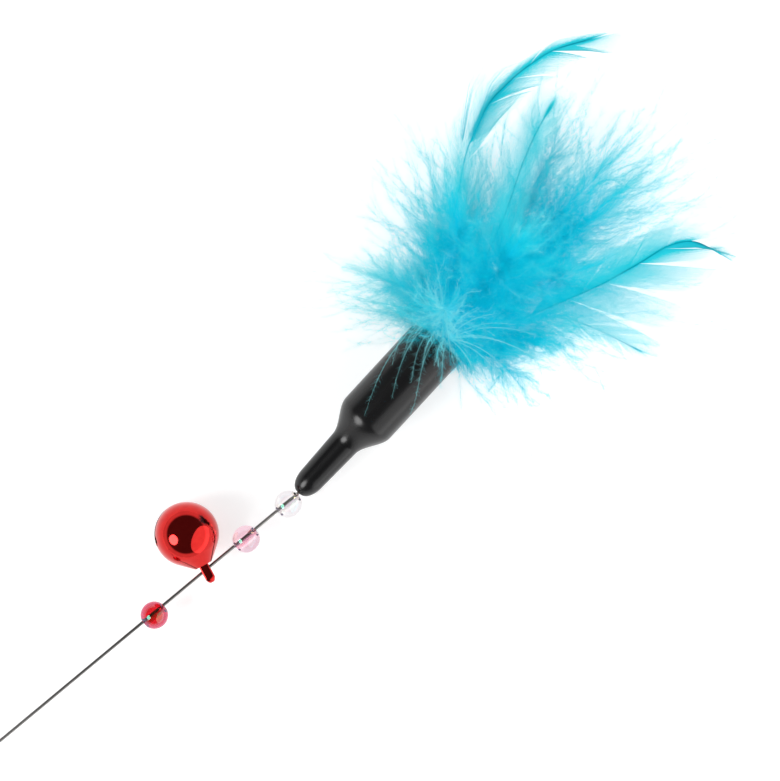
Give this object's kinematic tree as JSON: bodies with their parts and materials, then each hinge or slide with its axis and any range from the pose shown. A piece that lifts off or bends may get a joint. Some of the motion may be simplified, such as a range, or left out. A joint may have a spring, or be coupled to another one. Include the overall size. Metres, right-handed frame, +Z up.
{
  "type": "cat teaser wand",
  "caption": "Sprung steel wire wand with a vinyl grip, loose acrylic beads, a red jingle bell and a black cap holding a fan of turquoise feathers.",
  "frame": {"origin": "middle of the grip, on its axis and on the wire's axis", "axes": "+X along the wire towards the feathers, +Z up with the wand lying on a table"},
  "size_m": [0.4957, 0.0665, 0.0553],
  "materials": {
    "wire_steel": "drawn spring steel, dull grey",
    "black_vinyl": "dip-moulded vinyl, glossy",
    "black_plastic": "moulded plastic, satin",
    "glue": "set hot glue",
    "thread": "wrapped polyester thread",
    "red_metal": "red lacquer over bright metal, mirror-like",
    "pellet_steel": "plain steel ball",
    "red_acrylic": "transparent acrylic with an iridescent coat",
    "pink_acrylic": "transparent acrylic with an iridescent coat",
    "clear_acrylic": "transparent acrylic with an iridescent coat",
    "marabou_down": "dyed turquoise down",
    "hackle_vane": "dyed turquoise vane, translucent"
  },
  "bodies": {
    "wand": {"wand_wire": "wire_steel", "grip_sleeve": "black_vinyl", "grip_core": "black_plastic", "feather_cap": "black_vinyl", "glue_plug": "glue", "quill_binding": "thread", "left_marabou": "marabou_down", "high_left_marabou": "marabou_down", "low_left_marabou": "marabou_down", "top_marabou": "marabou_down", "high_right_marabou": "marabou_down", "right_marabou": "marabou_down", "centre_marabou": "marabou_down", "under_left_marabou": "marabou_down", "under_right_marabou": "marabou_down", "low_right_marabou": "marabou_down", "front_marabou": "marabou_down", "left_collar_marabou": "marabou_down", "right_collar_marabou": "marabou_down", "top_collar_marabou": "marabou_down", "upper_hackle": "hackle_vane", "middle_hackle": "hackle_vane", "right_hackle": "hackle_vane", "lower_hackle": "hackle_vane"},
    "bell": {"bell_shell": "red_metal", "bell_loop": "red_metal"},
    "pellet": {"bell_pellet": "pellet_steel"},
    "red_bead_body": {"red_bead": "red_acrylic"},
    "pink_bead_body": {"pink_bead": "pink_acrylic"},
    "clear_bead_body": {"clear_bead": "clear_acrylic"}
  },
  "joints": [
    {"name": "bell_swing", "type": "hinge", "parent": "wand", "child": "bell", "pos_m": [0.3119, 0, 0], "axis": [1, 0, 0], "continuous": true},
    {"name": "pellet_rattle", "type": "slide", "parent": "bell", "child": "pellet", "axis": [0, 0, 1], "range_m": [0, 0.0086]},
    {"name": "red_bead_slide", "type": "slide", "parent": "wand", "child": "red_bead_body", "axis": [1, 0, 0], "range_m": [-0.238, 0.009]},
    {"name": "pink_bead_slide", "type": "slide", "parent": "wand", "child": "pink_bead_body", "axis": [1, 0, 0], "range_m": [-0.0028, 0.0028]},
    {"name": "clear_bead_slide", "type": "slide", "parent": "wand", "child": "clear_bead_body", "axis": [1, 0, 0], "range_m": [-0.0025, 0.0002]}
  ]
}
